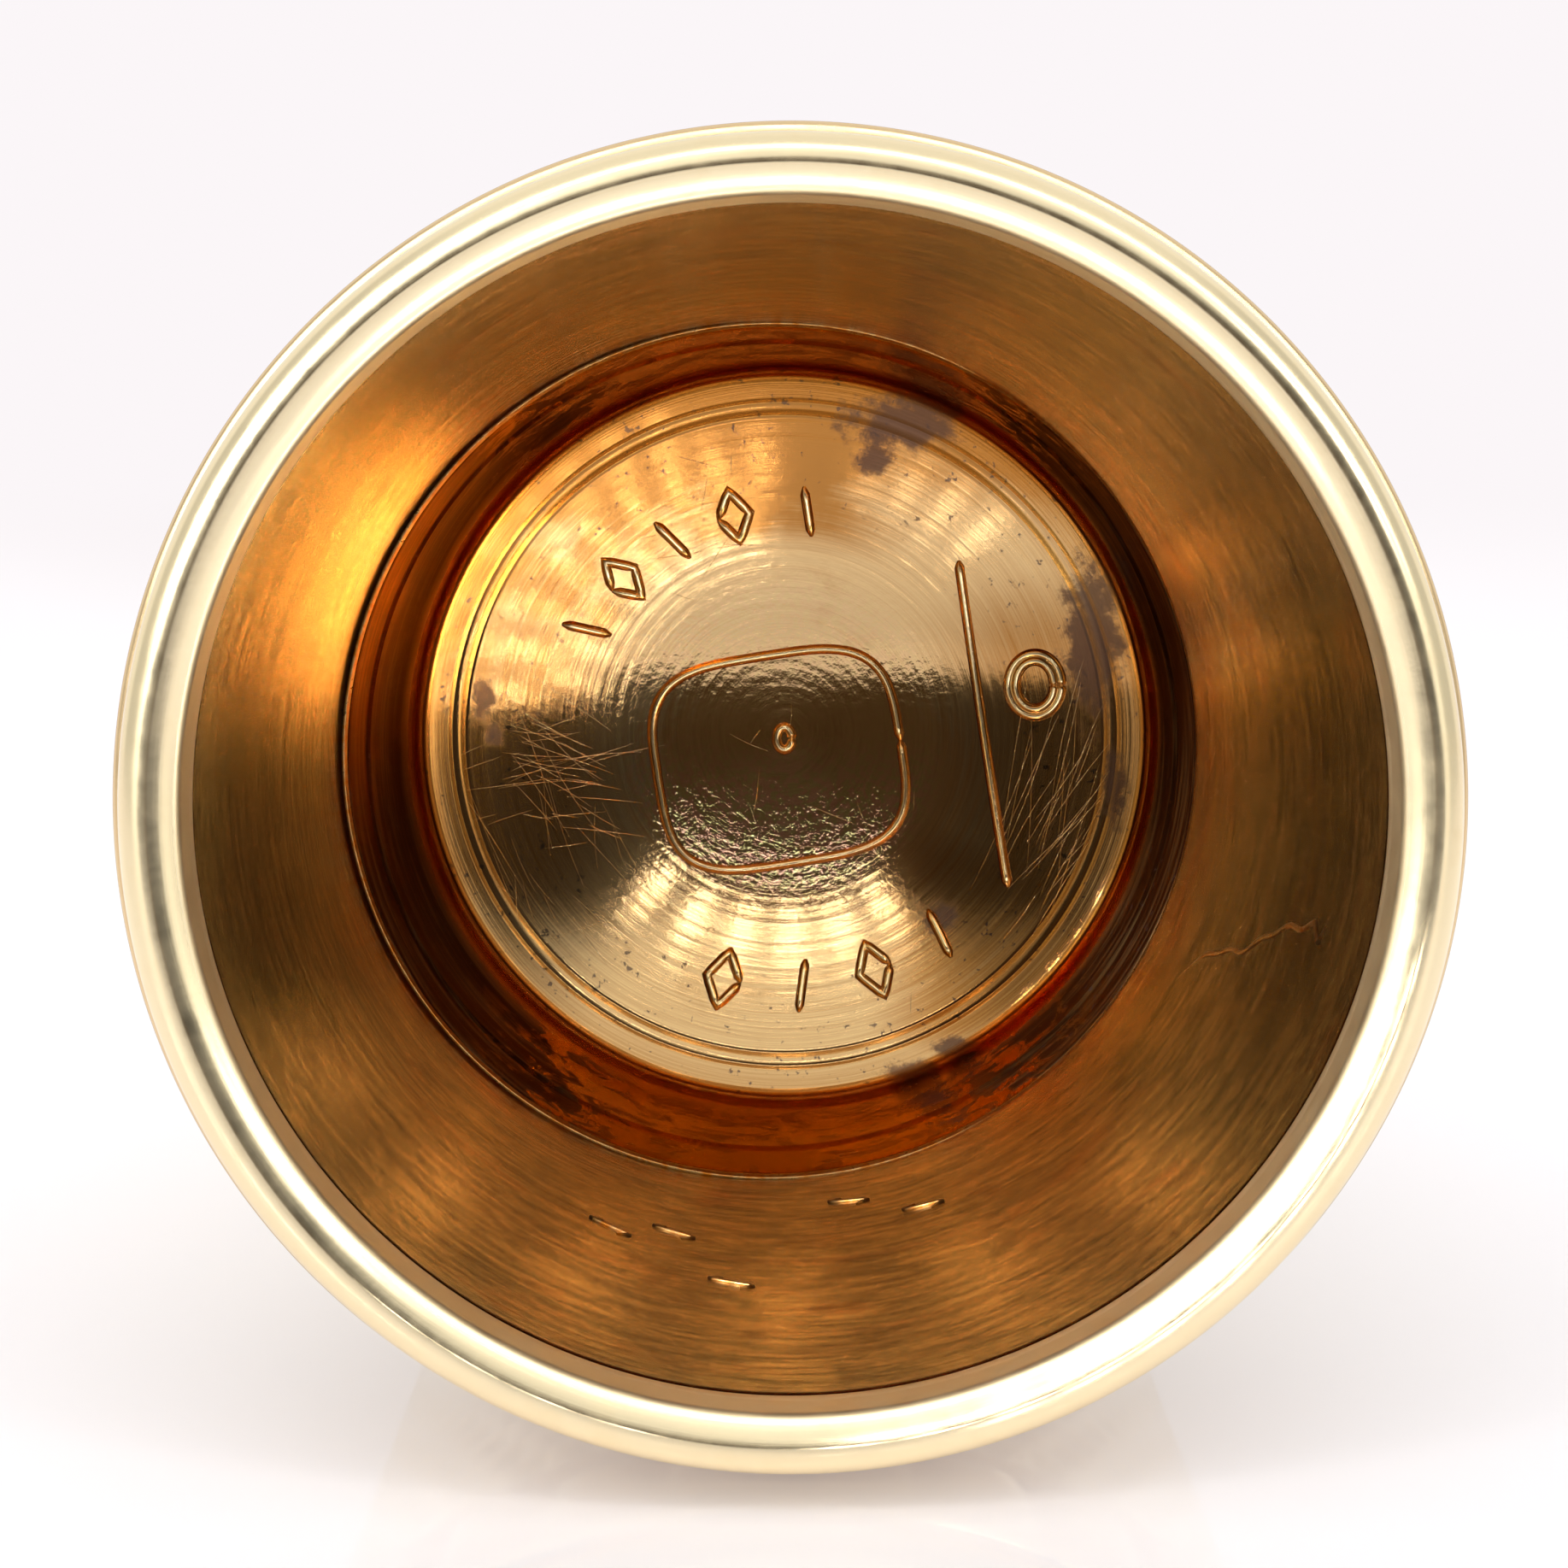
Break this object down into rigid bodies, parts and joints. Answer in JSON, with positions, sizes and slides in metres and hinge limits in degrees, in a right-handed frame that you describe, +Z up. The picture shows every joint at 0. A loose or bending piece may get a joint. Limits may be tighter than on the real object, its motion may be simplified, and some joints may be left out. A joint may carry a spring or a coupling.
{
  "type": "thimble",
  "caption": "Tapered gold sewing thimble with a domed crown, a lobed border and a rounded rim bead, open at the mouth for a fingertip.",
  "frame": {"origin": "centre of the straight inside face of the rim bead, on the thimble's axis", "axes": "+Y along the thimble's axis from the mouth towards the crown, +Z up as the thimble lies on its side, +X to the right seen from the mouth"},
  "size_m": [0.019, 0.021, 0.019],
  "materials": {
    "wall_gold": "brushed, warm patina",
    "crown_gold": "turned and polished",
    "border_gold": "chased, polished high points",
    "rim_gold": "bright polish",
    "solder": "satin"
  },
  "bodies": {
    "root": {"side_wall": "wall_gold", "wall_seam": "solder", "crown_cap": "crown_gold", "crown_solder": "solder", "border_band": "border_gold", "border_solder": "solder", "rim_bead": "rim_gold", "rim_solder": "solder"}
  },
  "joints": []
}
